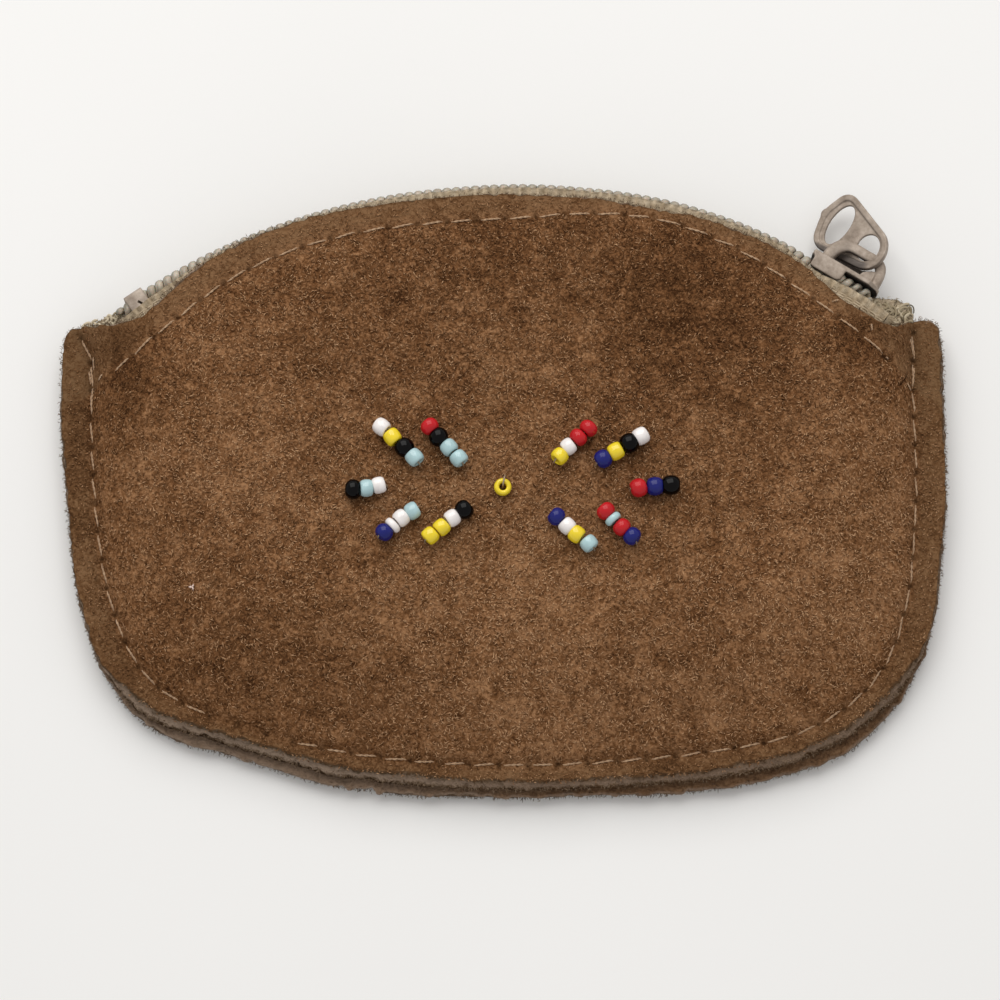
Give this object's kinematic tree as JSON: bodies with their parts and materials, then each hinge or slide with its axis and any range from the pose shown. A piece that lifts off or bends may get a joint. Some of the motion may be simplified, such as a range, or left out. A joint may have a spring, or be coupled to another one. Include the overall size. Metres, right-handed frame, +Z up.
{
  "type": "beaded coin purse",
  "caption": "Flat suede coin purse with an arched coil zip along its top, stitched sides and bottom, and small glass beads sewn in a sunburst on its front.",
  "frame": {"origin": "under the middle of the purse, on the plane that its back rests on", "axes": "+X to the right along the purse's width with its front facing up, +Y towards the zip, +Z up out of the front"},
  "size_m": [0.111, 0.0777, 0.0116],
  "materials": {
    "suede": "brown split suede with a short uneven nap, a little soiled",
    "zip_tape": "woven beige tape, frayed at one end",
    "zip_coil": "beige nylon coil",
    "zip_metal": "pinkish pewter plating, lightly worn",
    "sewing_thread": "twisted tan thread",
    "bead_thread": "pale beading thread",
    "glass_white": "opaque glossy glass",
    "glass_yellow": "opaque glossy glass",
    "glass_black": "opaque glossy glass",
    "glass_paleblue": "opaque glossy glass",
    "glass_red": "opaque glossy glass",
    "glass_darkblue": "opaque glossy glass"
  },
  "bodies": {
    "purse": {"front_panel": "suede", "back_panel": "suede", "zip_tape_front": "zip_tape", "zip_tape_back": "zip_tape", "zip_coil_front": "zip_coil", "zip_coil_back": "zip_coil", "zip_bottom_stop": "zip_metal", "seam_thread_front": "sewing_thread", "seam_thread_back": "sewing_thread", "zip_thread_front": "sewing_thread", "zip_thread_back": "sewing_thread", "zip_bobbin_front": "sewing_thread", "zip_bobbin_back": "sewing_thread", "bead_thread": "bead_thread", "bead_a1_white": "glass_white", "bead_a2_yellow": "glass_yellow", "bead_a3_black": "glass_black", "bead_a4_paleblue": "glass_paleblue", "bead_b1_paleblue": "glass_paleblue", "bead_b2_paleblue": "glass_paleblue", "bead_b3_black": "glass_black", "bead_b4_red": "glass_red", "bead_c1_white": "glass_white", "bead_c2_paleblue": "glass_paleblue", "bead_c3_black": "glass_black", "bead_d1_darkblue": "glass_darkblue", "bead_d2_white": "glass_white", "bead_d3_white": "glass_white", "bead_d4_paleblue": "glass_paleblue", "bead_e1_yellow": "glass_yellow", "bead_e2_yellow": "glass_yellow", "bead_e3_white": "glass_white", "bead_e4_black": "glass_black", "bead_f1_red": "glass_red", "bead_f2_red": "glass_red", "bead_f3_white": "glass_white", "bead_f4_yellow": "glass_yellow", "bead_g1_white": "glass_white", "bead_g2_black": "glass_black", "bead_g3_yellow": "glass_yellow", "bead_g4_darkblue": "glass_darkblue", "bead_h1_red": "glass_red", "bead_h2_darkblue": "glass_darkblue", "bead_h3_black": "glass_black", "bead_i1_darkblue": "glass_darkblue", "bead_i2_white": "glass_white", "bead_i3_yellow": "glass_yellow", "bead_i4_paleblue": "glass_paleblue", "bead_j1_darkblue": "glass_darkblue", "bead_j2_red": "glass_red", "bead_j3_paleblue": "glass_paleblue", "bead_j4_red": "glass_red", "bead_k1_yellow": "glass_yellow"},
    "slider": {"slider_body": "zip_metal", "slider_crown": "zip_metal"},
    "pull_tab": {"pull_tab": "zip_metal"}
  },
  "joints": [
    {"name": "zip_travel", "type": "hinge", "parent": "purse", "child": "slider", "pos_m": [0, -0.04215, 0.0051], "axis": [0, 0, 1], "range_deg": [0, 62], "deforming": ["zip_coil_front", "zip_coil_back"]},
    {"name": "tab_swing", "type": "hinge", "parent": "slider", "child": "pull_tab", "pos_m": [0.04503, 0.03053, 0.0051], "axis": [0.8501, -0.5267, 0], "range_deg": [0, 110]}
  ]
}
